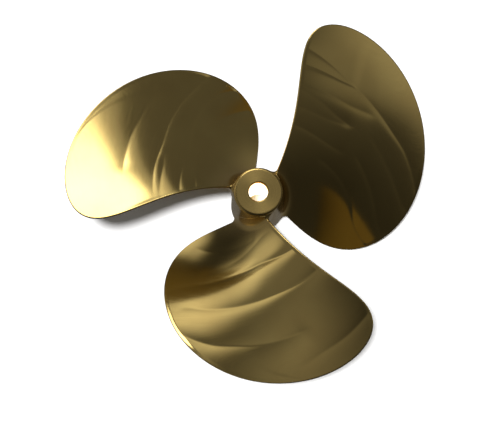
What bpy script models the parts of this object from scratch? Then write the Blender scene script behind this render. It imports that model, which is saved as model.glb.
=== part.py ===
"""Three-bladed, right-handed ship propeller, cast in one piece of bronze.

The propeller lies as it would on a floor: shaft axis upright, +Z towards the stern, the
smaller after end of the hub on top. The origin is on the shaft axis, at the centre of
mass, and the first blade's reference line runs along +X. All sizes are in metres and
angles in degrees.
"""
import math

import bpy

# Driving dimensions of the whole propeller
DIAMETER = 0.610
PITCH = 0.584
BLADE_COUNT = 3

# The pitch is smaller at the root, and reaches its full size at a share of the tip radius
ROOT_PITCH_SHARE = 0.80
FULL_PITCH_FROM = 0.45

# Height of the plane where the blades' reference lines leave the axis
REFERENCE_HEIGHT = -0.004

# Hub
HUB_TOP = 0.047
HUB_BOTTOM = -0.080
HUB_TOP_RADIUS = 0.0385
HUB_BOTTOM_RADIUS = 0.0435
HUB_BULGE = 0.0010
HUB_RIM_ROUNDING = 0.0045
HUB_FOOT_ROUNDING = 0.0030
BORE_TOP_RADIUS = 0.0150
BORE_BOTTOM_RADIUS = 0.0190
BORE_CHAMFER = 0.0012

# Blade outline, by the share of the tip radius. The width along the arc is twice the tip
# radius times a width factor and the root of what is left to the tip, which rounds the tip.
# The factor is the start plus the rise times the share plus the flare times its square.
WIDTH_START = -0.04
WIDTH_RISE = 0.79
WIDTH_FLARE = 0.92

# The middle of the width sweeps back from the root with the square of the way out
ROOT_SHARE = 0.14
ROOT_SWEEP = -1.5
TIP_SWEEP = 34.5

# Blade thickness, at the root and the tip of its reference line and along its edges
ROOT_THICKNESS = 0.0200
TIP_THICKNESS = 0.0050
EDGE_THICKNESS = 0.0034
ROOT_FILLET = 0.0160
FILLET_END_SHARE = 0.60
FILLET_START = 0.03
ROOT_DEPTH = 0.0080

# Root fillets stay under this height, so that the hub's aft face is clear of them
FILLET_TOP = 0.0415

# Facets
HUB_STEPS = 48
ROUNDING_STEPS = 4
ROWS = 18
FILLET_ROWS = 4
CHORD_STEPS = 14

# Bronze: colour as linear light, metallic, roughness
BRONZE_COLOUR = (0.60, 0.44, 0.20, 1.0)
BRONZE_ROUGHNESS = 0.22

TIP_RADIUS = DIAMETER / 2
LEAD = PITCH / (2 * math.pi)
HUB_PASSES = 4
MERGE_DISTANCE = 0.00005


def clear_scene():
    """Remove everything that the scene starts with."""
    for item in list(bpy.data.objects):
        bpy.data.objects.remove(item, do_unlink=True)


def new_collection(name):
    """Make a collection and link it to the scene."""
    collection = bpy.data.collections.new(name)
    bpy.context.scene.collection.children.link(collection)
    return collection


def bronze():
    """Polished cast bronze."""
    material = bpy.data.materials.new("polished_bronze")
    material.use_nodes = True
    shader = material.node_tree.nodes["Principled BSDF"]
    shader.inputs["Base Color"].default_value = BRONZE_COLOUR
    shader.inputs["Metallic"].default_value = 1.0
    shader.inputs["Roughness"].default_value = BRONZE_ROUGHNESS
    return material


def mix(start, end, share):
    """Value a share of the way from start to end."""
    return start + (end - start) * share


def half_angle(share):
    """Half the blade's width at a share of the tip radius, in radians about the axis."""
    factor = WIDTH_START + WIDTH_RISE * share + WIDTH_FLARE * share ** 2
    return factor * math.sqrt(max(1 - share, 0)) / share


def middle_angle(share):
    """Angle of the middle of the blade's width, in radians."""
    out = (share - ROOT_SHARE) / (1 - ROOT_SHARE)
    return math.radians(mix(ROOT_SWEEP, TIP_SWEEP, out * out))


def hub_radius(z):
    """Outer radius of the hub at a height: a cone with a slight bulge."""
    t = (HUB_TOP - z) / (HUB_TOP - HUB_BOTTOM)
    t = min(max(t, 0), 1)
    straight = HUB_TOP_RADIUS + (HUB_BOTTOM_RADIUS - HUB_TOP_RADIUS) * t
    return straight + HUB_BULGE * 4 * t * (1 - t)


def rounded_corner(radius, z, size, start_angle):
    """Points of a quarter round whose arc's centre is at (radius, z)."""
    points = []
    for i in range(ROUNDING_STEPS + 1):
        angle = math.radians(start_angle - 90 * i / ROUNDING_STEPS)
        points.append((radius + size * math.cos(angle), z + size * math.sin(angle)))
    return points


def hub_profile():
    """Section of the hub at +X: down the outer side, then up the tapered bore."""
    top = HUB_TOP - HUB_RIM_ROUNDING
    bottom = HUB_BOTTOM + HUB_FOOT_ROUNDING
    points = rounded_corner(hub_radius(top) - HUB_RIM_ROUNDING, top, HUB_RIM_ROUNDING, 90)
    for i in range(1, ROUNDING_STEPS * 2):
        z = top + (bottom - top) * i / (ROUNDING_STEPS * 2)
        points.append((hub_radius(z), z))
    points += rounded_corner(hub_radius(bottom) - HUB_FOOT_ROUNDING, bottom, HUB_FOOT_ROUNDING, 0)
    points.append((BORE_BOTTOM_RADIUS + BORE_CHAMFER, HUB_BOTTOM))
    points.append((BORE_BOTTOM_RADIUS, HUB_BOTTOM + BORE_CHAMFER))
    points.append((BORE_TOP_RADIUS, HUB_TOP - BORE_CHAMFER))
    points.append((BORE_TOP_RADIUS + BORE_CHAMFER, HUB_TOP))
    return points


def hub(collection, material):
    """Hub turned from its profile, with the bore for the shaft's taper."""
    points = hub_profile()
    mesh = bpy.data.meshes.new("propeller")
    edges = [(i, (i + 1) % len(points)) for i in range(len(points))]
    mesh.from_pydata([(x, 0, z) for x, z in points], edges, [])
    mesh.materials.append(material)
    body = bpy.data.objects.new("propeller", mesh)
    collection.objects.link(body)
    turn = body.modifiers.new("turn", "SCREW")
    turn.axis = "Z"
    turn.steps = HUB_STEPS
    turn.render_steps = HUB_STEPS
    turn.use_merge_vertices = True
    turn.merge_threshold = MERGE_DISTANCE
    return body


def fillet(depth, size):
    """How far a round root fillet of a size stands out at a height above the hub."""
    left = size - min(max(depth, FILLET_START * size), size)
    return size - math.sqrt(size * size - left * left)


def lead(share):
    """Rise of the face for each radian about the axis."""
    left = 1 - min(max((share - ROOT_SHARE) / (FULL_PITCH_FROM - ROOT_SHARE), 0), 1)
    return LEAD * mix(1, ROOT_PITCH_SHARE, left * left)


def face_line(share, across):
    """Angle and height of a point of the pressure face's pitch surface."""
    angle = middle_angle(share) + across * half_angle(share)
    return angle, REFERENCE_HEIGHT + lead(share) * angle


def share_above_hub(depth, across):
    """Share of the tip radius at a height above the hub, which narrows upwards."""
    share = ROOT_SHARE
    for _ in range(HUB_PASSES):
        z = face_line(share, across)[1]
        share = max((hub_radius(z) + depth) / TIP_RADIUS, ROOT_SHARE)
    return share


def blade_point(share, across, back, depth=None):
    """Point of the blade's skin.

    share is the share of the tip radius and across runs from -1 at the leading edge to 1
    at the trailing edge. back picks the forward side. depth, where it is given, is a
    height above the hub that replaces the share.
    """
    if depth is not None:
        share = share_above_hub(depth, across)
    angle, z = face_line(share, across)
    radius = share * TIP_RADIUS if depth is None else hub_radius(z) + depth
    slope = math.atan2(lead(share), radius)
    bow = 1 - across * across
    crown = mix(ROOT_THICKNESS, TIP_THICKNESS, (share - ROOT_SHARE) / (1 - ROOT_SHARE))
    thickness = EDGE_THICKNESS + (crown - EDGE_THICKNESS) * bow
    size = ROOT_FILLET * mix(FILLET_END_SHARE, 1, bow)
    flare = fillet(radius - hub_radius(z), size)
    if abs(across) == 1:
        below = EDGE_THICKNESS / 2
    else:
        below = thickness + flare if back else -flare
    along = flare * across
    angle += (below * math.sin(slope) + along * math.cos(slope)) / radius
    highest = max(z, FILLET_TOP)
    z = min(z + along * math.sin(slope) - below * math.cos(slope), highest)
    return (radius * math.cos(angle), radius * math.sin(angle), z)


def blade_rows():
    """Rows from inside the hub to just short of the tip: (share, height above the hub)."""
    rows = [(None, -ROOT_DEPTH)]
    rows += [(None, ROOT_FILLET * i / FILLET_ROWS) for i in range(FILLET_ROWS)]
    start = (hub_radius(HUB_BOTTOM) + ROOT_FILLET) / TIP_RADIUS
    rows += [(mix(1, start, (1 - i / ROWS) ** 2), None) for i in range(ROWS)]
    return rows


def blade_mesh(material):
    """Blade lofted over its rows, closed inside the hub and at the tip."""
    inner = [-math.cos(math.pi * i / CHORD_STEPS) for i in range(1, CHORD_STEPS)]
    loop = [(-1, False)] + [(across, False) for across in inner]
    loop += [(1, False)] + [(across, True) for across in reversed(inner)]
    points = []
    for share, depth in blade_rows():
        points += [blade_point(share, across, back, depth) for across, back in loop]
    count = len(loop)
    row_total = len(points) // count
    faces = [tuple(range(count))]
    for row in range(row_total - 1):
        for i in range(count):
            a = row * count + i
            b = row * count + (i + 1) % count
            faces.append((b, a, a + count, b + count))
    tip = len(points)
    points.append(blade_point(1, 1, False))
    last = (row_total - 1) * count
    for i in range(count):
        faces.append((last + (i + 1) % count, last + i, tip))
    mesh = bpy.data.meshes.new("blade")
    mesh.from_pydata(points, [], faces)
    mesh.materials.append(material)
    return mesh


def join_blades(body, mesh, collection):
    """Cast the blades onto the hub, evenly about the axis."""
    for i in range(BLADE_COUNT):
        blade = bpy.data.objects.new("blade_%d" % (i + 1), mesh)
        blade.rotation_euler = (0, 0, math.radians(360 / BLADE_COUNT * i))
        blade.hide_render = True
        blade.display_type = "WIRE"
        collection.objects.link(blade)
        union = body.modifiers.new("join_blade_%d" % (i + 1), "BOOLEAN")
        union.operation = "UNION"
        union.solver = "EXACT"
        union.object = blade


def build():
    """Build the propeller."""
    clear_scene()
    parts = new_collection("ship_propeller")
    guides = new_collection("blades_to_join")
    material = bronze()
    body = hub(parts, material)
    join_blades(body, blade_mesh(material), guides)


build()
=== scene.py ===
"""Looks of a three-bladed bronze ship propeller, laid on the forward end of its hub.

The propeller is one casting. Its blades are ground by hand, in long passes that run across
them and leave shallow hollows, and then buffed. The hub's ends and its bore are turned.
"""

import math

import bpy
import numpy as np
from mathutils import Matrix, Vector, kdtree


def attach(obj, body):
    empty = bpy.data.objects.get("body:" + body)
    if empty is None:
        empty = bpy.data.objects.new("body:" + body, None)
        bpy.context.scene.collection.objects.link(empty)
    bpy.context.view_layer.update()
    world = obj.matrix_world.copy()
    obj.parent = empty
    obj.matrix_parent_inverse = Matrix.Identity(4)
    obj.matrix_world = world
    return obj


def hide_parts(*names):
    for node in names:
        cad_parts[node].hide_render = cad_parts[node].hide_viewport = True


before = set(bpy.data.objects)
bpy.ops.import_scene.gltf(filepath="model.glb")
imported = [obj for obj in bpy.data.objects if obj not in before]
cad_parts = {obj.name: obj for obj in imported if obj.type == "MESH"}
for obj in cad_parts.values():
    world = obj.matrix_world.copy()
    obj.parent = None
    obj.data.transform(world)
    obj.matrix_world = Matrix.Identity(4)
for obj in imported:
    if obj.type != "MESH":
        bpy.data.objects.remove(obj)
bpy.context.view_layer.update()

# The propeller's own sizes, in metres and degrees, as the CAD has them, apart from the
# reference height, which is 1 mm lower here
DIAMETER = 0.610
PITCH = 0.584
ROOT_PITCH_SHARE = 0.80
FULL_PITCH_FROM = 0.45
BLADE_COUNT = 3
REFERENCE_HEIGHT = -0.005
HUB_TOP = 0.047
HUB_BOTTOM = -0.080
HUB_TOP_RADIUS = 0.0385
HUB_BOTTOM_RADIUS = 0.0435
HUB_BULGE = 0.0010
HUB_RIM_ROUNDING = 0.0045
HUB_FOOT_ROUNDING = 0.0030
BORE_TOP_RADIUS = 0.0150
BORE_BOTTOM_RADIUS = 0.0190
BORE_CHAMFER = 0.0012
WIDTH_START = -0.04
WIDTH_RISE = 0.79
WIDTH_FLARE = 0.92
ROOT_SHARE = 0.14
ROOT_SWEEP = -1.5
TIP_SWEEP = 34.5
ROOT_THICKNESS = 0.0200
TIP_THICKNESS = 0.0050
EDGE_THICKNESS = 0.0034
ROOT_FILLET = 0.0160
FILLET_END_SHARE = 0.60
ROOT_DEPTH = 0.0080
FILLET_TOP = 0.0415

# The CAD blade's edge runs in short straight lines, a little inside its own curve, so these
# blades are that much smaller, and their reference lines 1 mm lower
TRIM = 0.0007
PITCH_TRIM = 0.0040
TIP_RADIUS = DIAMETER / 2 - TRIM
LEAD = (PITCH - PITCH_TRIM) / (2 * math.pi)

# The nose that rounds a blade's edge, and how far in from it the edge keeps its thickness
NOSE = 0.0014
EDGE_BAND = 0.0120

# Mesh steps
ROWS = 230
COLUMNS = 178
FILLET_ROWS = 14
TIP_CROWDING = 0.08
EDGE_CROWDING = 0.85
OUTLINE_STEPS = 4000
HUB_STEPS = 240
FACE_GROOVES = 16

# Camera of the photograph: nearly down the shaft axis, tipped towards the bottom blade. Its
# tilts, roll, scale and place come from a numeric fit to the outlines of the three blades.
PHOTO_SIZE = (500, 423)
CAMERA_DISTANCE = 8 * DIAMETER / 2
CAMERA_TILT = 10.39
CAMERA_SIDE_TILT = 0.24
CAMERA_ROLL = 14.17
CAMERA_AIM_HEIGHT = -0.004
PIXELS_PER_METRE = 191.0 / (DIAMETER / 2)
HUB_PIXEL = (257.49, 197.15)
CENTRE_PIXEL = (249.5, 211.0)
SENSOR = 36.0

# Hollows that the grinding passes leave in each blade's face. Each is a line of (across, share
# of the tip radius) points, read off the photograph, its depth in mm at its two ends,
# and how far in mm it takes to fade towards the tip and towards the root. Most of the depths
# and fading distances are rounded from a numeric fit to the photograph's tones.
THIN = (12, 3)
PASS_LINES = {
    1: (
        (((-1.00, 0.84), (-0.79, 0.83), (-0.45, 0.81), (-0.15, 0.78), (0.15, 0.76), (0.45, 0.75),
          (1.00, 0.77)), (0.8, 0.3), THIN),
        (((0.35, 0.76), (0.60, 0.72), (1.00, 0.68)), (0.7, 0.7), (18, 2)),
        (((-1.00, 0.80), (-0.79, 0.76), (-0.30, 0.70), (0.10, 0.66)), (0.6, 0.2), THIN),
        (((0.05, 0.75), (0.36, 0.67), (0.60, 0.63), (1.00, 0.59)), (0.4, 0.4), THIN),
        (((-1.00, 0.70), (-0.79, 0.65), (-0.30, 0.59), (0.10, 0.55)), (0.5, 0.5), THIN),
        (((0.20, 0.63), (0.30, 0.60), (0.55, 0.57), (1.00, 0.56)), (0.5, 0.8), (10, 4)),
        (((0.25, 0.60), (0.39, 0.57), (0.60, 0.52), (1.00, 0.47)), (0.4, 0.4), THIN),
        (((-1.00, 0.63), (-0.70, 0.53), (-0.39, 0.49), (-0.12, 0.45), (0.40, 0.36)), (0.6, 0.4), THIN),
        (((0.10, 0.52), (0.24, 0.48), (0.45, 0.44), (0.70, 0.41), (1.00, 0.38)), (0.5, 0.9), (15, 3)),
    ),
    2: (
        (((-0.60, 0.79), (-0.39, 0.77), (0.00, 0.74), (0.30, 0.72), (0.60, 0.70)), (0.6, 0.8), (25, 12)),
        (((-1.00, 0.76), (-0.86, 0.73), (-0.39, 0.66), (-0.12, 0.62), (0.21, 0.57), (0.58, 0.55),
          (1.00, 0.53)), (1.6, 0.4), (30, 3)),
        (((-1.00, 0.64), (-0.67, 0.62), (-0.45, 0.58), (-0.21, 0.53), (0.00, 0.48), (0.21, 0.44),
          (0.45, 0.42), (1.00, 0.40)), (1.4, 0.6), THIN),
        (((-1.00, 0.53), (-0.55, 0.49), (-0.24, 0.45), (0.06, 0.40), (0.36, 0.36), (1.00, 0.32)),
         (1.2, 0.8), THIN),
        (((0.30, 0.54), (0.55, 0.51), (1.00, 0.50)), (0.6, 0.9), (15, 6)),
    ),
    3: (
        (((-0.40, 0.95), (0.09, 0.92), (0.39, 0.89), (0.70, 0.87), (1.00, 0.84)), (0.1, 0.5), (9, 11)),
        (((-1.00, 0.82), (-0.60, 0.81), (-0.30, 0.79), (-0.06, 0.78), (0.50, 0.75)), (1.5, 1.0), (13, 14)),
        (((-1.00, 0.78), (-0.73, 0.69), (-0.42, 0.64), (-0.15, 0.60), (0.15, 0.56), (0.45, 0.53),
          (1.00, 0.51)), (0.2, 2.4), (8, 16)),
        (((-1.00, 0.69), (-0.76, 0.61), (-0.52, 0.54), (-0.21, 0.46), (0.09, 0.40), (0.39, 0.36),
          (1.00, 0.35)), (0.3, 2.2), (7, 7)),
        (((-0.60, 0.51), (-0.33, 0.43), (-0.06, 0.35), (0.24, 0.27), (0.55, 0.22), (1.00, 0.20)),
         (0.2, 0.8), (13, 12)),
        (((-0.91, 0.41), (-0.70, 0.38), (-0.33, 0.31), (0.09, 0.25), (0.33, 0.22)), (0.4, 0.2), (9, 16)),
    ),
}
# The passes run slanted and bent across a blade, in shares of the tip radius
PASS_SLANT = 0.12
PASS_BEND = -0.04
# How sharply a hollow turns at its line, how far in from the edge it starts, the share of the
# blade's half width over which a hollow that ends within the blade fades out, and the step
# across that a line's slant is measured over
PASS_ROUNDING = 0.0012
PASS_EDGE_FADE = 0.007
PASS_END = 0.15
LINE_STEP = 0.005
MILLIMETRE = 0.001

# Buffing drag: the scratches of a 240 grit wheel are 0.05 mm wide and would not show, so the
# drag is drawn 1.5 mm wide
GRAIN_WIDTH = 0.0015
GRAIN_LENGTH = 0.060
GRAIN_DEPTH = 0.000006
# Tarnish comes in patches as wide as a hand, and the wheel loses its bite this close to the axis
CLOUD_SIZE = 0.090
DULL_FROM = 0.045
DULL_TO = 0.085
# Marks of the grinding disc on the hub's side
DISC_MARK = 0.006
DISC_MARK_DEPTH = 0.00003
# A lathe's cuts are 0.2 mm apart and would not show, so they are drawn 1.1 mm apart
CUT_WIDTH = 0.0011
GROOVE_DEPTH = 0.000008


def smooth_curve(xs, ys, x):
    """Heights at x of a smooth curve through the points (xs, ys)."""
    xs, ys, x = np.asarray(xs), np.asarray(ys), np.asarray(x, float)
    before = np.maximum(np.arange(len(xs)) - 1, 0)
    after = np.minimum(np.arange(len(xs)) + 1, len(xs) - 1)
    slopes = (ys[after] - ys[before]) / (xs[after] - xs[before])
    i = np.clip(np.searchsorted(xs, x, side="right") - 1, 0, len(xs) - 2)
    span = xs[i + 1] - xs[i]
    t = (x - xs[i]) / span
    start = (1 + 2 * t) * (1 - t) ** 2 * ys[i] + t * (1 - t) ** 2 * span * slopes[i]
    end = t * t * (3 - 2 * t) * ys[i + 1] + t * t * (t - 1) * span * slopes[i + 1]
    return start + end


def ease(x):
    """Smooth step from 0 to 1 as x goes from 0 to 1."""
    x = np.clip(x, 0, 1)
    return x * x * (3 - 2 * x)


def mix(start, end, share):
    """Value a share of the way from start to end."""
    return start + (end - start) * share


def half_angle(share):
    """Half the blade's width at a share of the tip radius, in radians about the axis."""
    factor = WIDTH_START + WIDTH_RISE * share + WIDTH_FLARE * share ** 2
    return factor * np.sqrt(np.maximum(1 - share, 0)) / share


def middle_angle(share):
    """Angle of the middle of the blade's width, in radians."""
    out = (share - ROOT_SHARE) / (1 - ROOT_SHARE)
    return np.radians(mix(ROOT_SWEEP, TIP_SWEEP, out * out))


def lead(share):
    """Rise of the face for each radian about the axis."""
    left = 1 - np.clip((share - ROOT_SHARE) / (FULL_PITCH_FROM - ROOT_SHARE), 0, 1)
    return LEAD * mix(1, ROOT_PITCH_SHARE, left * left)


def hub_radius(z):
    """Outer radius of the hub at a height: a cone with a slight bulge."""
    t = np.clip((HUB_TOP - z) / (HUB_TOP - HUB_BOTTOM), 0, 1)
    return mix(HUB_TOP_RADIUS, HUB_BOTTOM_RADIUS, t) + HUB_BULGE * 4 * t * (1 - t)


def face_line(share, across):
    """Angle and height of a point of the pressure face's pitch surface."""
    angle = middle_angle(share) + across * half_angle(share)
    return angle, REFERENCE_HEIGHT + lead(share) * angle


def share_above_hub(depth, across):
    """Share of the tip radius at a height above the hub."""
    share = np.full(np.shape(across), ROOT_SHARE)
    for _ in range(6):
        z = face_line(share, across)[1]
        share = np.maximum((hub_radius(z) + depth) / TIP_RADIUS, ROOT_SHARE)
    return share


def pass_hollows(blade, share, across, edge):
    """How deep the hollows between the grinding passes lie in the face."""
    deep = np.zeros(share.shape)
    slope = lead(share) / (share * TIP_RADIUS)
    width = np.maximum(half_angle(share), 0.02) * share * np.sqrt(1 + slope ** 2)
    for points, depths, reaches in PASS_LINES[blade]:
        places, shares = zip(*points)
        at = np.clip(across, places[0], places[-1])
        line = smooth_curve(places, shares, at)
        steep = (smooth_curve(places, shares, at + LINE_STEP) - line) / LINE_STEP / width
        away = (share - line) * TIP_RADIUS / np.sqrt(1 + steep ** 2)
        reach = np.where(away > 0, reaches[0], reaches[1]) * MILLIMETRE
        away = np.sqrt(away ** 2 + PASS_ROUNDING ** 2) - PASS_ROUNDING
        depth = mix(depths[0], depths[1], (at - places[0]) / (places[-1] - places[0])) * MILLIMETRE
        if places[0] > -1:
            depth = depth * ease((across - places[0]) / PASS_END)
        if places[-1] < 1:
            depth = depth * ease((places[-1] - across) / PASS_END)
        deep += depth * np.exp(-away / reach)
    return deep * ease(edge / PASS_EDGE_FADE)


def outline_tree():
    """Points along the edge of a blade's nominal face, for distances to the edge."""
    t = np.linspace(0, 1, OUTLINE_STEPS)
    share = mix(ROOT_SHARE, 1, 1 - (1 - t) ** 2)
    tree = kdtree.KDTree(OUTLINE_STEPS * 2)
    for k, side in enumerate((-1.0, 1.0)):
        angle, z = face_line(share, side)
        x, y = share * TIP_RADIUS * np.cos(angle), share * TIP_RADIUS * np.sin(angle)
        for i in range(OUTLINE_STEPS):
            tree.insert((x[i], y[i], z[i]), k * OUTLINE_STEPS + i)
    tree.balance()
    return tree


def edge_distance(tree, share, across):
    """Distance of points of the nominal face to the blade's edge."""
    angle, z = face_line(share, across)
    x, y = share * TIP_RADIUS * np.cos(angle), share * TIP_RADIUS * np.sin(angle)
    flat = np.stack([x, y, z], -1).reshape(-1, 3)
    found = np.array([tree.find(p)[2] for p in flat.tolist()]).reshape(share.shape)
    return np.where(np.abs(across) >= 1, 0, found)


def blade_rows(across):
    """Share of the tip radius and root flare of every grid point, root to tip."""
    size = ROOT_FILLET * mix(FILLET_END_SHARE, 1, 1 - across * across)
    shares = [share_above_hub(np.full(across.shape, -ROOT_DEPTH), across)]
    heights = [np.full(across.shape, -ROOT_DEPTH)]
    flares = [size]
    for i in range(FILLET_ROWS):
        turn = math.pi / 2 * (1 - i / FILLET_ROWS)
        height = size * (1 - math.sin(turn))
        shares.append(share_above_hub(height, across))
        heights.append(height)
        flares.append(size * (1 - math.cos(turn)))
    start = share_above_hub(size, across)
    for i in range(ROWS):
        left = 1 - i / ROWS
        left = math.sqrt(left ** 2 + TIP_CROWDING ** 2) - TIP_CROWDING
        left /= math.sqrt(1 + TIP_CROWDING ** 2) - TIP_CROWDING
        shares.append(mix(1, start, left))
        heights.append(np.full(across.shape, np.nan))
        flares.append(np.zeros(across.shape))
    return np.array(shares), np.array(heights), np.array(flares)


def blade_points(blade, grid, back):
    """Grid of points of one side of a blade."""
    share, height, flare, across, edge = grid
    angle, z = face_line(share, across)
    radius = np.where(np.isnan(height), share * TIP_RADIUS, hub_radius(z) + height)
    slope = np.arctan2(lead(share), radius)
    bow = 1 - across * across
    crown = mix(ROOT_THICKNESS, TIP_THICKNESS, (share - ROOT_SHARE) / (1 - ROOT_SHARE))
    body = (crown - EDGE_THICKNESS) * bow * (1 - np.exp(-edge / EDGE_BAND))
    nose = np.clip(1 - edge / NOSE, 0, 1)
    turn_in = EDGE_THICKNESS / 2 * (1 - np.sqrt(1 - nose ** 2))
    if back:
        below = EDGE_THICKNESS + body + flare - turn_in
    else:
        below = turn_in - flare + pass_hollows(blade, share, across, edge)
    along = flare * across
    angle = angle + (below * np.sin(slope) + along * np.cos(slope)) / radius
    angle = angle + 2 * math.pi / BLADE_COUNT * (blade - 1)
    highest = np.maximum(z, FILLET_TOP)
    z = np.minimum(z + along * np.sin(slope) - below * np.cos(slope), highest)
    return np.stack([radius * np.cos(angle), radius * np.sin(angle), z], -1)


def across_steps():
    """Places across the blade, closer together at the edges."""
    v = np.linspace(-1, 1, COLUMNS)
    u = mix(v, np.sin(v * math.pi / 2), EDGE_CROWDING)
    u[0], u[-1] = -1, 1
    return u


def add_piece(name, points, faces, materials):
    """Mesh object on the propeller's body that takes part in replacing its CAD solid."""
    mesh = bpy.data.meshes.new(name)
    mesh.from_pydata([tuple(p) for p in points], [], faces)
    mesh.shade_smooth()
    for material in materials:
        mesh.materials.append(material)
    piece = bpy.data.objects.new(name, mesh)
    bpy.context.scene.collection.objects.link(piece)
    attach(piece, "root")
    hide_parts("propeller")
    return piece


def blade_grid():
    """Share, height above the hub, root flare, place across and edge distance of a blade."""
    across = across_steps()
    share, height, flare = blade_rows(across)
    across = np.broadcast_to(across, share.shape)
    return share, height, flare, across, edge_distance(outline_tree(), share, across)


def both_sides(face, back):
    """Rows round a blade: along the face and back along the other side."""
    return np.concatenate([face, back[:, -2:0:-1]], axis=1)


def lay_grain(mesh, grid):
    """UV map in metres: along the grinding passes, and across them."""
    share, across = grid[0], grid[3]
    along = across * half_angle(share) * share * TIP_RADIUS
    over = (share + PASS_SLANT * across + PASS_BEND * across ** 2) * TIP_RADIUS
    places = np.stack([both_sides(along, along), both_sides(over, over)], -1).reshape(-1, 2)
    places = np.concatenate([places, places[-1:]])
    corners = np.empty(len(mesh.loops), dtype=np.int32)
    mesh.loops.foreach_get("vertex_index", corners)
    layer = mesh.uv_layers.new(name="passes")
    layer.data.foreach_set("uv", places[corners].ravel().astype(np.float32))


def blade_piece(blade, plan, material):
    """One blade, from inside the hub to its tip."""
    face = blade_points(blade, plan, False)
    back = blade_points(blade, plan, True)
    grid = both_sides(face, back)
    rows, count = grid.shape[:2]
    points = grid.reshape(-1, 3).tolist()
    faces = [tuple(range(count))]
    for row in range(rows - 1):
        start = row * count
        for i in range(count):
            j = (i + 1) % count
            faces.append((start + j, start + i, start + i + count, start + j + count))
    tip_angle, tip_z = face_line(np.array(1.0), np.array(1.0))
    tip_angle += 2 * math.pi / BLADE_COUNT * (blade - 1)
    points.append((TIP_RADIUS * math.cos(tip_angle), TIP_RADIUS * math.sin(tip_angle),
                   float(tip_z) - EDGE_THICKNESS / 2))
    last = (rows - 1) * count
    for i in range(count):
        faces.append((last + (i + 1) % count, last + i, len(points) - 1))
    piece = add_piece("blade_%d" % blade, points, faces, [material])
    lay_grain(piece.data, plan)
    return piece


def turned_ring(inner, outer, height, up):
    """Radius and height of the points across a turned end face, with its turning marks."""
    points = []
    for i in range(2 * FACE_GROOVES + 1):
        deep = GROOVE_DEPTH if i % 2 else 0
        points.append((mix(inner, outer, i / (2 * FACE_GROOVES)), height - up * deep))
    return points


def hub_profile():
    """Section of the hub in three runs: side, forward face with the bore, and aft face."""
    top = HUB_TOP - HUB_RIM_ROUNDING
    bottom = HUB_BOTTOM + HUB_FOOT_ROUNDING
    side = []
    for i in range(9):
        turn = math.radians(90 - 90 * i / 8)
        side.append((hub_radius(top) - HUB_RIM_ROUNDING * (1 - math.cos(turn)),
                     top + HUB_RIM_ROUNDING * math.sin(turn)))
    for i in range(1, 24):
        z = mix(top, bottom, i / 24)
        side.append((hub_radius(z), z))
    for i in range(9):
        turn = math.radians(-90 * i / 8)
        side.append((hub_radius(bottom) - HUB_FOOT_ROUNDING * (1 - math.cos(turn)),
                     bottom + HUB_FOOT_ROUNDING * math.sin(turn)))
    forward = turned_ring(side[-1][0], BORE_BOTTOM_RADIUS + BORE_CHAMFER, HUB_BOTTOM, -1)[1:]
    bore = []
    for i in range(13):
        z = mix(HUB_BOTTOM + BORE_CHAMFER, HUB_TOP - BORE_CHAMFER, i / 12)
        bore.append((mix(BORE_BOTTOM_RADIUS, BORE_TOP_RADIUS, i / 12), z))
    aft = turned_ring(BORE_TOP_RADIUS + BORE_CHAMFER, side[0][0], HUB_TOP, 1)[:-1]
    return side, forward + bore, aft


def hub_piece(ground, turned):
    """Hub turned from its profile, with a ground side and turned ends and bore."""
    side, forward, aft = hub_profile()
    profile = side + forward + aft
    count = len(profile)
    points, faces, finish = [], [], []
    for i in range(HUB_STEPS):
        turn = 2 * math.pi * i / HUB_STEPS
        points += [(r * math.cos(turn), r * math.sin(turn), z) for r, z in profile]
        for j in range(count):
            a, b = i * count, (i + 1) % HUB_STEPS * count
            k = (j + 1) % count
            faces.append((a + j, a + k, b + k, b + j))
            finish.append(0 if j < len(side) - 1 else 1)
    piece = add_piece("hub", points, faces, [ground, turned])
    piece.data.polygons.foreach_set("material_index", finish)
    return piece


def srgb(text):
    """Linear colour of a hex value."""
    parts = [int(text[i:i + 2], 16) / 255 for i in (1, 3, 5)]
    return tuple(p / 12.92 if p <= 0.04045 else ((p + 0.055) / 1.055) ** 2.4 for p in parts) + (1,)


def node(tree, kind, settings=(), links=()):
    """Add a node, set its properties and inputs, and link other outputs to its inputs."""
    item = tree.nodes.new(kind)
    for name, value in dict(settings).items():
        if isinstance(name, str) and hasattr(item, name):
            setattr(item, name, value)
        else:
            item.inputs[name].default_value = value
    for name, output in dict(links).items():
        tree.links.new(output, item.inputs[name])
    return item


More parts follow.
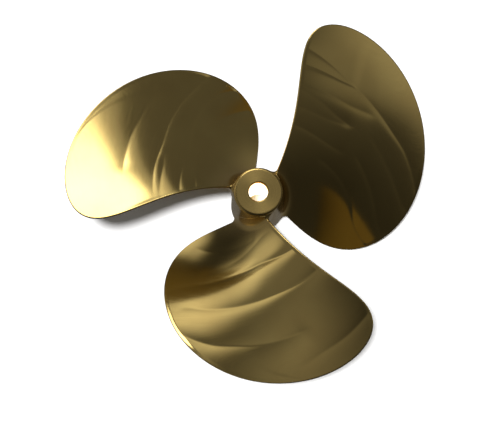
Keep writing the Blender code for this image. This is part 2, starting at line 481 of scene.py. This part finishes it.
def buffed_bronze():
    """Cast manganese bronze, ground by hand along the passes and buffed.

    Buffing leaves a soft mirror with a faint drag along the passes. The mirror is duller
    close to the hub, where the wheel reaches it badly, and keeps a thin film of tarnish.
    """
    material = bpy.data.materials.new("buffed_bronze")
    material.use_nodes = True
    tree = material.node_tree
    shader = tree.nodes["Principled BSDF"]
    shader.inputs["Metallic"].default_value = 1.0
    place = node(tree, "ShaderNodeUVMap", {"uv_map": "passes"})
    drawn = node(tree, "ShaderNodeMapping", {
        "Scale": (1 / GRAIN_LENGTH, 1 / GRAIN_WIDTH, 1)}, {"Vector": place.outputs["UV"]})
    grain = node(tree, "ShaderNodeTexNoise", {
        "noise_dimensions": "2D", "Scale": 1.0, "Detail": 2.0, "Roughness": 0.6,
    }, {"Vector": drawn.outputs["Vector"]})
    body = node(tree, "ShaderNodeTexCoord").outputs["Object"]
    clouds = node(tree, "ShaderNodeTexNoise", {
        "Scale": 1 / CLOUD_SIZE, "Detail": 3.0, "Roughness": 0.55}, {"Vector": body})
    flat = node(tree, "ShaderNodeVectorMath", {"operation": "MULTIPLY", 1: (1, 1, 0)}, {0: body})
    reach = node(tree, "ShaderNodeVectorMath", {"operation": "LENGTH"}, {0: flat.outputs[0]})
    dull = node(tree, "ShaderNodeMapRange", {
        "interpolation_type": "SMOOTHSTEP", "From Min": DULL_TO, "From Max": DULL_FROM,
        "To Min": 0.0, "To Max": 1.0}, {"Value": reach.outputs["Value"]})
    film = node(tree, "ShaderNodeMapRange", {
        "From Min": 0.35, "From Max": 0.68, "To Min": 0.0, "To Max": 0.55,
    }, {"Value": clouds.outputs["Fac"]})
    most = node(tree, "ShaderNodeMath", {"operation": "MAXIMUM"}, {
        0: film.outputs["Result"], 1: dull.outputs["Result"]})
    colour = node(tree, "ShaderNodeMix", {
        "data_type": "RGBA", 6: srgb("#dfc379"), 7: srgb("#cfb06b")}, {0: most.outputs[0]})
    drag = node(tree, "ShaderNodeMapRange", {
        "From Min": 0.3, "From Max": 0.7, "To Min": 0.13, "To Max": 0.17,
    }, {"Value": grain.outputs["Fac"]})
    rough = node(tree, "ShaderNodeMath", {"operation": "MULTIPLY_ADD", 1: 0.09}, {
        0: dull.outputs["Result"], 2: drag.outputs["Result"]})
    bump = node(tree, "ShaderNodeBump", {
        "Strength": 1.0, "Distance": GRAIN_DEPTH}, {"Height": grain.outputs["Fac"]})
    tree.links.new(colour.outputs[2], shader.inputs["Base Color"])
    tree.links.new(rough.outputs[0], shader.inputs["Roughness"])
    tree.links.new(bump.outputs["Normal"], shader.inputs["Normal"])
    return material


def ground_bronze():
    """The same bronze on the hub's side, ground with a coarser disc and only brushed over.

    The side between the blades is hard to reach, so it shows dim, soft reflections.
    """
    material = bpy.data.materials.new("ground_bronze")
    material.use_nodes = True
    tree = material.node_tree
    shader = tree.nodes["Principled BSDF"]
    shader.inputs["Metallic"].default_value = 1.0
    body = node(tree, "ShaderNodeTexCoord").outputs["Object"]
    marks = node(tree, "ShaderNodeTexNoise", {
        "Scale": 1 / DISC_MARK, "Detail": 3.0, "Roughness": 0.6}, {"Vector": body})
    colour = node(tree, "ShaderNodeMix", {
        "data_type": "RGBA", 6: srgb("#d6b970"), 7: srgb("#b4965a")}, {0: marks.outputs["Fac"]})
    rough = node(tree, "ShaderNodeMapRange", {
        "From Min": 0.3, "From Max": 0.7, "To Min": 0.2, "To Max": 0.3,
    }, {"Value": marks.outputs["Fac"]})
    bump = node(tree, "ShaderNodeBump", {
        "Strength": 1.0, "Distance": DISC_MARK_DEPTH}, {"Height": marks.outputs["Fac"]})
    tree.links.new(colour.outputs[2], shader.inputs["Base Color"])
    tree.links.new(rough.outputs["Result"], shader.inputs["Roughness"])
    tree.links.new(bump.outputs["Normal"], shader.inputs["Normal"])
    return material


def turned_bronze():
    """The same bronze where a lathe cut it: both end faces and the bore.

    The cuts run round the axis, so a light shows as two fans that meet across the bore.
    """
    material = bpy.data.materials.new("turned_bronze")
    material.use_nodes = True
    tree = material.node_tree
    shader = tree.nodes["Principled BSDF"]
    shader.inputs["Metallic"].default_value = 1.0
    shader.inputs["Anisotropic"].default_value = 0.8
    shader.inputs["Anisotropic Rotation"].default_value = 0.25
    body = node(tree, "ShaderNodeTexCoord").outputs["Object"]
    flat = node(tree, "ShaderNodeVectorMath", {"operation": "MULTIPLY", 1: (1, 1, 0)}, {0: body})
    reach = node(tree, "ShaderNodeVectorMath", {"operation": "LENGTH"}, {0: flat.outputs[0]})
    cuts = node(tree, "ShaderNodeTexNoise", {
        "noise_dimensions": "1D", "Scale": 1 / CUT_WIDTH, "Detail": 2.0,
    }, {"W": reach.outputs["Value"]})
    colour = node(tree, "ShaderNodeMix", {
        "data_type": "RGBA", 6: srgb("#dcbf76"), 7: srgb("#c3a562")}, {0: cuts.outputs["Fac"]})
    rough = node(tree, "ShaderNodeMapRange", {
        "From Min": 0.3, "From Max": 0.7, "To Min": 0.18, "To Max": 0.26,
    }, {"Value": cuts.outputs["Fac"]})
    round_axis = node(tree, "ShaderNodeTangent", {"direction_type": "RADIAL", "axis": "Z"})
    tree.links.new(colour.outputs[2], shader.inputs["Base Color"])
    tree.links.new(rough.outputs["Result"], shader.inputs["Roughness"])
    tree.links.new(round_axis.outputs["Tangent"], shader.inputs["Tangent"])
    return material


def photo_way(azimuth, zenith):
    """Direction given as in the photograph: azimuth from its right, angle from the axis."""
    turn = math.radians(azimuth - CAMERA_ROLL)
    tip = math.radians(zenith)
    return Vector((math.sin(tip) * math.cos(turn), math.sin(tip) * math.sin(turn), math.cos(tip)))


def camera():
    """Camera at the photograph's angle."""
    data = bpy.data.cameras.new("camera")
    item = bpy.data.objects.new("camera", data)
    bpy.context.scene.collection.objects.link(item)
    pixels = PIXELS_PER_METRE * CAMERA_DISTANCE
    data.sensor_width = SENSOR
    data.lens = SENSOR * pixels / PHOTO_SIZE[0]
    side = Matrix.Rotation(math.radians(CAMERA_SIDE_TILT), 3, "Y")
    tilt = Matrix.Rotation(math.radians(-CAMERA_TILT), 3, "X")
    to_camera = tilt @ side
    turn = to_camera.transposed()
    aim = Vector((
        (HUB_PIXEL[0] - CENTRE_PIXEL[0]) / PIXELS_PER_METRE,
        (CENTRE_PIXEL[1] - HUB_PIXEL[1]) / PIXELS_PER_METRE,
        -CAMERA_DISTANCE,
    ))
    roll = Matrix.Rotation(math.radians(-CAMERA_ROLL), 3, "Z")
    turn = roll @ turn
    place = Vector((0, 0, CAMERA_AIM_HEIGHT)) - turn @ aim
    item.matrix_world = Matrix.Translation(place) @ turn.to_4x4()
    bpy.context.scene.camera = item
    return item


# Soft light round the propeller: azimuth and angle from the axis as in the photograph, half
# width, softness of its edge, radiance. All rows but the last are rounded from a numeric fit
# to the photograph's tones.
GLOWS = (
    # A lit wall far to the left, and its brighter part above the horizon at the back
    (195, 85, 40, 15, 0.14),
    (110, 85, 16, 8, 0.80),
    # A patch of ceiling left of the camera, and the ceiling over the propeller
    (185, 35, 4, 20, 0.35),
    (5, 12, 22, 3, 0.20),
    # The right side of the room, high, low, and as a whole
    (-15, 35, 12, 5, 0.11),
    (20, 110, 16, 18, 0.12),
    (45, 70, 65, 45, 0.07),
    # Light on the underside
    (0, 180, 55, 30, 0.14),
)
# A row of windows that runs down the left wall: the first one, how many there are, and how far
# each lies on from the last one, how much lower and wider it is, and its share of that radiance.
# The row follows three lights of the same fit.
FIRST_WINDOW = (145, 52, 8, 8, 1.0)
WINDOW_COUNT = 3
WINDOW_STEP = 15
WINDOW_DROP = 16
WINDOW_GROWTH = 3
WINDOW_DIMMING = 0.63
# Radiance of the dark between the lights, also from that fit
DARK = 0.025

# Softbox on the left, brightest in its middle: azimuth and angle from the axis, turn, half
# width and half height in degrees, radiance of each lamp, and how far the lamps that lie one
# behind the other differ in half width and height. Its numbers are rounded from that fit too.
SOFTBOXES = (
    ("softbox", 98, 48, 16, 11, 22, 0.30, (-7, -2, 2, 7)),
    ("softbox_middle", 105, 52, 16, 15, 12, 1.55, (-1, 1)),
)
SOFTBOX_DISTANCE = 30.0

# Lamp under the bore, which shows white from above
BORE_LAMP_RADIUS = 0.0185
BORE_LAMP_RADIANCE = 6.0
BORE_LAMP_GAP = 0.0004

# Floor, and the light that whitens it: strength, width in degrees, azimuth and angle from the axis
FLOOR_REACH = 6.0
FLOOR_LIGHT_STRENGTH = 4.2
FLOOR_LIGHT_ANGLE = 8
FLOOR_LIGHT_WAY = (-140, 7.4)


def windows():
    """Rows like those of GLOWS for the windows down the left wall."""
    azimuth, zenith, width, soft, strength = FIRST_WINDOW
    rows = []
    for i in range(WINDOW_COUNT):
        rows.append((azimuth + WINDOW_STEP * i, zenith + WINDOW_DROP * i, width + WINDOW_GROWTH * i,
                     soft, strength * WINDOW_DIMMING ** i))
    return rows


def studio_world():
    """Dark studio behind a white background."""
    world = bpy.data.worlds.new("studio")
    bpy.context.scene.world = world
    world.use_nodes = True
    tree = world.node_tree
    tree.nodes.clear()
    way = node(tree, "ShaderNodeTexCoord").outputs["Generated"]
    total = None
    for azimuth, zenith, width, soft, strength in list(GLOWS) + windows():
        dot = node(tree, "ShaderNodeVectorMath", {"operation": "DOT_PRODUCT"}, {0: way})
        dot.inputs[1].default_value = photo_way(azimuth, zenith)
        angle = node(tree, "ShaderNodeMath", {"operation": "ARCCOSINE"}, {0: dot.outputs["Value"]})
        fade = node(tree, "ShaderNodeMapRange", {
            "interpolation_type": "SMOOTHSTEP",
            "From Min": math.radians(width + soft), "From Max": math.radians(width - soft),
            "To Min": 0.0, "To Max": strength,
        }, {"Value": angle.outputs[0]})
        add = node(tree, "ShaderNodeMath", {"operation": "ADD"}, {0: fade.outputs["Result"]})
        if total is None:
            add.inputs[1].default_value = DARK
        else:
            tree.links.new(total, add.inputs[1])
        total = add.outputs[0]
    studio = node(tree, "ShaderNodeBackground", {"Color": (1, 1, 1, 1)}, {"Strength": total})
    white = node(tree, "ShaderNodeBackground", {"Color": (1, 1, 1, 1)})
    path = node(tree, "ShaderNodeLightPath")
    both = node(tree, "ShaderNodeMixShader", {}, {
        0: path.outputs["Is Camera Ray"], 1: studio.outputs[0], 2: white.outputs[0]})
    node(tree, "ShaderNodeOutputWorld", {}, {"Surface": both.outputs[0]})


def lamp(name, shape, size, radiance, turn, place, lit):
    """Area lamp that lights only the pieces in a collection."""
    data = bpy.data.lights.new(name, "AREA")
    data.shape = shape
    data.size, data.size_y = size
    area = size[0] * size[1] * (math.pi / 4 if shape == "ELLIPSE" else 1)
    data.energy = radiance * math.pi * area
    item = bpy.data.objects.new(name, data)
    item.matrix_world = Matrix.Translation(place) @ turn.to_4x4()
    item.light_linking.receiver_collection = lit
    bpy.context.scene.collection.objects.link(item)
    return item


def softbox(name, azimuth, zenith, roll, wide, high, radiance, rims, lit):
    """Softbox whose light fades towards its rim."""
    way = photo_way(azimuth, zenith)
    side = Vector((-way.y, way.x, 0)).normalized()
    turn = Matrix((side, way.cross(side), way)).transposed()
    turn = turn @ Matrix.Rotation(math.radians(roll), 3, "Z")
    for i, rim in enumerate(rims):
        size = [2 * SOFTBOX_DISTANCE * math.tan(math.radians(half + rim)) for half in (wide, high)]
        item = lamp("%s_%d" % (name, i + 1), "RECTANGLE", size, radiance, turn,
                    way * (SOFTBOX_DISTANCE + 0.01 * i), lit)
        item.visible_camera = False


def bore_lamp(lit):
    """Lamp that lies under the bore and shines up it."""
    size = (2 * BORE_LAMP_RADIUS, 2 * BORE_LAMP_RADIUS)
    place = Vector((0, 0, HUB_BOTTOM + BORE_LAMP_GAP))
    turn = Matrix.Rotation(math.pi, 3, "X")
    lamp("bore_lamp", "ELLIPSE", size, BORE_LAMP_RADIANCE, turn, place, lit)


def floor():
    """Plain white floor under the hub."""
    mesh = bpy.data.meshes.new("floor")
    corners = [(-FLOOR_REACH, -FLOOR_REACH), (FLOOR_REACH, -FLOOR_REACH),
               (FLOOR_REACH, FLOOR_REACH), (-FLOOR_REACH, FLOOR_REACH)]
    mesh.from_pydata([(x, y, HUB_BOTTOM) for x, y in corners], [], [(0, 1, 2, 3)])
    material = bpy.data.materials.new("white_paper")
    material.use_nodes = True
    shader = material.node_tree.nodes["Principled BSDF"]
    shader.inputs["Base Color"].default_value = srgb("#f4f4f4")
    shader.inputs["Roughness"].default_value = 0.9
    # From below the paper lets the eye through, so that the propeller's underside shows
    tree = material.node_tree
    side = node(tree, "ShaderNodeNewGeometry").outputs["Backfacing"]
    clear = node(tree, "ShaderNodeBsdfTransparent").outputs["BSDF"]
    both = node(tree, "ShaderNodeMixShader", {}, {0: side, 1: shader.outputs["BSDF"], 2: clear})
    tree.links.new(both.outputs["Shader"], tree.nodes["Material Output"].inputs["Surface"])
    mesh.materials.append(material)
    item = bpy.data.objects.new("floor", mesh)
    bpy.context.scene.collection.objects.link(item)
    item.visible_glossy = False
    item.visible_shadow = False
    return item


def floor_light(lit):
    """Soft light from nearly above that whitens the floor and lays the shadow on it."""
    data = bpy.data.lights.new("floor_light", "SUN")
    data.energy = FLOOR_LIGHT_STRENGTH
    data.angle = math.radians(FLOOR_LIGHT_ANGLE)
    item = bpy.data.objects.new("floor_light", data)
    item.rotation_euler = photo_way(*FLOOR_LIGHT_WAY).to_track_quat("Z", "Y").to_euler()
    item.light_linking.receiver_collection = lit
    bpy.context.scene.collection.objects.link(item)
    return item


metal = bpy.data.collections.new("metal")
paper = bpy.data.collections.new("paper")
metal.objects.link(hub_piece(ground_bronze(), turned_bronze()))
blade_plan = blade_grid()
blade_finish = buffed_bronze()
for number in range(1, BLADE_COUNT + 1):
    metal.objects.link(blade_piece(number, blade_plan, blade_finish))
paper.objects.link(floor())
studio_world()
for plan in SOFTBOXES:
    softbox(*plan, metal)
bore_lamp(metal)
floor_light(paper)
camera()
bpy.context.scene.view_settings.view_transform = "Standard"
